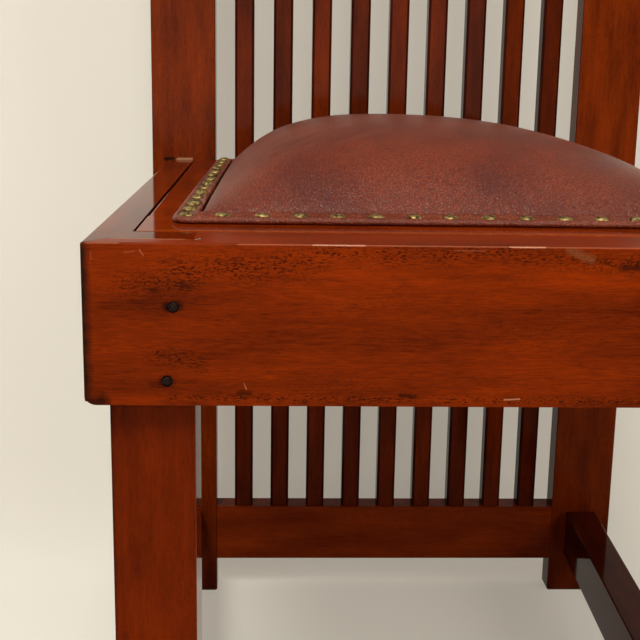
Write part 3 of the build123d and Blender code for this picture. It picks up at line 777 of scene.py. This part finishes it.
start_places = places_of(pad.data)
sewn_height = seat_top + rim_height
sewn = [number for number, place in enumerate(start_places) if place.z < sewn_height + 0.0001]
fill_bottom(pad.data)
swell(pad, sewn, stuffing_pressure, swelling)
open_bottom(pad.data)
finer = pad.modifiers.new("finer", "SUBSURF")
finer.levels = 1
finer.render_levels = 1
pad.data = bpy.data.meshes.new_from_object(pad.evaluated_get(bpy.context.evaluated_depsgraph_get()))
pad.modifiers.clear()

# low folds, that run away from the seam and die out within 4 cm
fold_height = 0.0007
fold_reach = 0.04
fold_fade = 0.014
fold_start = 0.004
pulled = places_of(pad.data)
for place in pulled:
    x, y, z = place
    from_seam = min(y - pad_front, pad_back - y, pad_half - abs(x))
    if z > sewn_height and from_seam < fold_reach:
        across_front = y - pad_front < 0.03
        pull = noise.noise(Vector((x * 95, y * 30, 1.7) if across_front else (x * 30, y * 95, 5.1)))
        place.z += fold_height * pull * math.exp(-from_seam / fold_fade) * min(1, from_seam / fold_start)
put_places(pad.data, pulled)
fill_bottom(pad.data)
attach(pad, "seat")
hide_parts("leather_cover", "seat_stuffing")


# Edge roll: the hide's border, folded over a cord at its outer edge and nailed down all round.
# The strip rises from the nails to the seam of the crown and puckers between the nails.

roll_hide = leather("oxblood_hide_edge", "#66220f", "#994626", 0.12)
# the border's section from the seam out over the strip and round the cord to the underside,
# as (distance in from the outer edge, height above the frame) in mm
roll_section = [(14.6, 0.3), (15.0, 3.0), (15.0, 5.0), (14.5, 5.6), (13.4, 5.4), (12.0, 4.7), (10.4, 3.9),
                (8.6, 3.4), (7.0, 3.1), (5.8, 2.9), (5.1, 3.0), (4.5, 3.7), (3.7, 4.4), (2.6, 4.7),
                (1.5, 4.3), (0.6, 3.5), (0.1, 2.6), (0.0, 1.8), (0.3, 1.0), (1.0, 0.4), (2.0, 0.15)]
corner_radius = 0.011
corner_step = 6
point_pitch = 0.002
nail_pitch_front = 0.022
nail_pitch_side = 0.030
dimple_depth = 0.0009
dimple_reach = 0.0062
pucker_front = 0.0009
pucker_side = 0.0024
unevenness = 0.00025


def around(inset):
    """Points of the border's outline at an inset, as many for every inset."""
    # further in than the corner's own centre, the outline still turns on a radius of 1 mm
    reach = max(0.001, corner_radius - inset)
    inward = reach - (corner_radius - inset)
    half = edge_outer - corner_radius - inward
    front = edge_front + corner_radius + inward
    back = edge_back - corner_radius - inward
    corners = [((half, front), -90), ((half, back), 0), ((-half, back), 90), ((-half, front), 180)]
    points = []
    for number, ((x, y), start) in enumerate(corners):
        for turn in range(0, 91, corner_step):
            angle = math.radians(start + turn)
            points.append((x + reach * math.cos(angle), y + reach * math.sin(angle)))
        next_x, next_y = corners[(number + 1) % 4][0]
        count = round((math.hypot(next_x - x, next_y - y) + 2 * inward) / point_pitch)
        angle = math.radians(start + 90)
        for part in range(1, count):
            points.append((x + (next_x - x) * part / count + reach * math.cos(angle),
                           y + (next_y - y) * part / count + reach * math.sin(angle)))
    return points


def nail_places():
    """Middle of each nail on the border."""
    half = edge_outer - edge_width / 2
    front = edge_front + edge_width / 2
    back = edge_back - edge_width / 2
    across = round(2 * half / nail_pitch_front)
    along = round((back - front) / nail_pitch_side)
    places = []
    for number in range(across + 1):
        step = -half + 2 * half * number / across
        places.extend([(step, front), (step, back)])
    for number in range(1, along):
        step = front + (back - front) * number / along
        places.extend([(-half, step), (half, step)])
    return places


nails_at = [(narrowed(x, y), y) for x, y in nail_places()]
roll_points = []
for inset, height in roll_section:
    for x, y in around(inset / 1000):
        x = narrowed(x, y)
        near = min(math.hypot(x - nail_x, y - nail_y) for nail_x, nail_y in nails_at)
        z = height / 1000
        # each nail pulls the hide down round it; the strip inside the nails puckers, most at the
        # sides, and the rest of the border is only a little uneven
        if height > 2:
            z -= dimple_depth * math.exp(-(near / dimple_reach) ** 2)
        if inset > 8 and height > 2:
            pucker = pucker_side if abs(x) > pad_half - 0.002 else pucker_front
            z += pucker * noise.noise(Vector((x * 130, y * 130, inset / 14)))
        elif height > 1:
            z += unevenness * noise.noise(Vector((x * 90, y * 90, 2.0)))
        roll_points.append((x, y, seat_top + z))
loop = len(roll_points) // len(roll_section)
roll_faces = ring_faces(0, len(roll_section), loop)
# the last ring joins the first, under the border
last = (len(roll_section) - 1) * loop
for place in range(loop):
    after = (place + 1) % loop
    roll_faces.append((last + place, last + after, after, place))
roll = new_piece("leather_border", roll_points, roll_faces, roll_hide)
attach(roll, "seat")
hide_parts("leather_edge_roll")


# Brass nails: domed heads stamped from thin brass, gone dull olive with age and dark in patches.
# Each was driven by hand, so no two sit quite level or quite in line.

nail_radius = 0.0048
nail_height = 0.0022
nail_seat = 0.0038
nail_sides = 20
# the head's rings from its rim to its top, as shares of its radius and its height
nail_rings = [(1.0, -0.35), (1.02, 0.0), (0.97, 0.22), (0.84, 0.5), (0.64, 0.76), (0.4, 0.93), (0.18, 0.99)]
dent_depth = 0.00018

nail_brass, tree = new_material("aged_stamped_brass")
place = add(tree, "TexCoord", {}, {}).outputs["Object"]
tarnish = add(tree, "TexNoise", {}, {"Vector": place, "Scale": 420.0, "Detail": 3.0})
tone = ramp(tree, tarnish, [(0.36, linear("#3f3118")), (0.62, linear("#a08a58"))])
dents = add(tree, "Bump", {}, {"Height": tarnish, "Strength": 0.5, "Distance": 0.0004})
metal = add(tree, "BsdfPrincipled", {}, {
    "Base Color": tone, "Metallic": 1.0, "Roughness": 0.52, "Normal": dents})
add(tree, "OutputMaterial", {}, {"Surface": metal})

nail_points = []
nail_faces = []
dented = random.Random(11)
for x, y in nails_at:
    base = len(nail_points)
    tilt_x = dented.uniform(-0.12, 0.12)
    tilt_y = dented.uniform(-0.12, 0.12)
    x += dented.uniform(-0.0006, 0.0006)
    y += dented.uniform(-0.0005, 0.0005)
    size = dented.uniform(0.94, 1.04)
    for share, rise in nail_rings:
        for turn in range(nail_sides):
            angle = 2 * math.pi * turn / nail_sides
            out_x = nail_radius * size * share * math.cos(angle)
            out_y = nail_radius * size * share * math.sin(angle)
            dent = dent_depth * noise.noise(Vector((x * 90 + out_x * 500, y * 90 + out_y * 500, 3.1)))
            height = seat_top + nail_seat + nail_height * rise + dent
            nail_points.append((x + out_x, y + out_y, height + tilt_x * out_x + tilt_y * out_y))
    nail_points.append((x, y, seat_top + nail_seat + nail_height))
    nail_faces.extend(ring_faces(base, len(nail_rings), nail_sides))
    nail_faces.append(tuple(base + turn for turn in reversed(range(nail_sides))))
    top = base + len(nail_rings) * nail_sides
    last = top - nail_sides
    for turn in range(nail_sides):
        nail_faces.append((last + turn, last + (turn + 1) % nail_sides, top))
nails = new_piece("brass_nail_heads", nail_points, nail_faces, nail_brass)
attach(nails, "seat")
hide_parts("brass_nails")


# Hessian: plain jute cloth stretched over the webbing, seen from below between the straps.
# It is woven from undyed, uneven yarn, and its laps lie on the slip frame under the hide.

def jute(name, apart_mm, colours):
    """Woven jute; its threads are 1 mm apart or less, drawn apart_mm from each other so that they show."""
    material, tree = new_material(name)
    place = add(tree, "TexCoord", {}, {}).outputs["Object"]

    def threads(direction):
        # a wave texture repeats after a tenth of pi, divided by its scale
        return add(tree, "TexWave", {"bands_direction": direction}, {
            "Vector": place, "Scale": math.pi / 10 * 1000 / apart_mm, "Distortion": 0.6,
            "Detail Scale": 3.0}).outputs["Fac"]

    weave = add(tree, "Math", {"operation": "MULTIPLY"}, {0: threads("X"), 1: threads("Y")})
    slub = add(tree, "TexNoise", {}, {"Vector": place, "Scale": 90.0, "Detail": 4.0})
    tone = add(tree, "Mix", {"data_type": "FLOAT"}, {"Factor": 0.5, "A": weave, "B": slub})
    tone = ramp(tree, tone, [(0.2, linear(colours[0])), (0.6, linear(colours[1]))])
    bump = add(tree, "Bump", {}, {"Height": weave, "Strength": 0.8, "Distance": 0.0005})
    cloth = add(tree, "BsdfPrincipled", {}, {
        "Base Color": tone, "Roughness": 0.92, "Normal": bump, "Specular IOR Level": 0.2})
    add(tree, "OutputMaterial", {}, {"Surface": cloth})
    return material


hessian_jute = jute("plain_woven_hessian", 4.7373, ("#7d6440", "#cdb384"))
cloth_steps = 60
cloth_points = []
for row in range(cloth_steps + 1):
    for column in range(cloth_steps + 1):
        x = hessian_low[0] + (hessian_high[0] - hessian_low[0]) * column / cloth_steps
        y = hessian_low[1] + (hessian_high[1] - hessian_low[1]) * row / cloth_steps
        ripple = 0.0002 * noise.noise(Vector((x * 60, y * 60, 0.4)))
        cloth_points.append((x, y, (hessian_low[2] + hessian_high[2]) / 2 + ripple))
hessian = new_piece("hessian", cloth_points, grid_faces(cloth_steps, cloth_steps), hessian_jute)
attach(hessian, "seat")
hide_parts("seat_hessian")


# Webbing: jute straps strained across the slip frame and interlaced, tacked to its top.
# The yarn is brown with age, and each strap passes over and under those it crosses.

web_low, web_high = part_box("seat_webbing")
web_middle = (web_low[2] + web_high[2]) / 2
strap_half = 0.025
strap_thick = 0.0013
strap_steps = 90
# how far a strap rises or dips where it crosses another, and over what length
strap_rise = 0.0008
strap_crossing = 0.03
straps_across = 4
straps_along = 3
board_tenon = 0.022
side_low, side_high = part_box("slip_frame_side_left")
open_front = side_low[1] + board_tenon
open_back = side_high[1] - board_tenon
open_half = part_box("slip_frame_side_right")[0][0]
cross_places = [open_front + (open_back - open_front) * (n + 0.5) / straps_across
                for n in range(straps_across)]
long_places = [-open_half + 2 * open_half * (n + 0.5) / straps_along for n in range(straps_along)]
web_points = []
web_faces = []


def strap(number, middle, start, end, crossings, lengthwise):
    """One strap that passes over and under those it crosses."""
    base = len(web_points)
    # the section of a strap, as shares of half its width and half its thickness
    edges = [(-1, -1), (-1, 1), (-0.5, 1), (0, 1), (0.5, 1), (1, 1), (1, -1), (0.5, -1), (0, -1), (-0.5, -1)]
    for step in range(strap_steps + 1):
        run = start + (end - start) * step / strap_steps
        rise = 0.0
        for order, crossing in enumerate(crossings):
            side = 1 if (order + number) % 2 else -1
            if not lengthwise:
                side = -side
            rise += side * strap_rise * math.exp(-((run - crossing) / strap_crossing) ** 4)
        for across, up in edges:
            # the woven edges wave by 0.4 mm
            sideways = middle + strap_half * across + 0.0004 * math.sin(run * 700 + number)
            height = web_middle + rise + up * strap_thick / 2
            web_points.append((sideways, run, height) if lengthwise else (run, sideways, height))
    size = len(edges)
    web_faces.extend(ring_faces(base, strap_steps + 1, size))
    web_faces.append(tuple(base + edge for edge in range(size)))
    web_faces.append(tuple(base + strap_steps * size + edge for edge in reversed(range(size))))


for number, y in enumerate(cross_places):
    strap(number, y, web_low[0], web_high[0], long_places, False)
for number, x in enumerate(long_places):
    strap(number, x, web_low[1], web_high[1], cross_places, True)
web_jute = jute("twill_jute_webbing", 3.553, ("#33251a", "#7d6240"))
webbing = new_piece("jute_webbing", web_points, web_faces, web_jute, smooth=False)
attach(webbing, "seat")
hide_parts("seat_webbing")
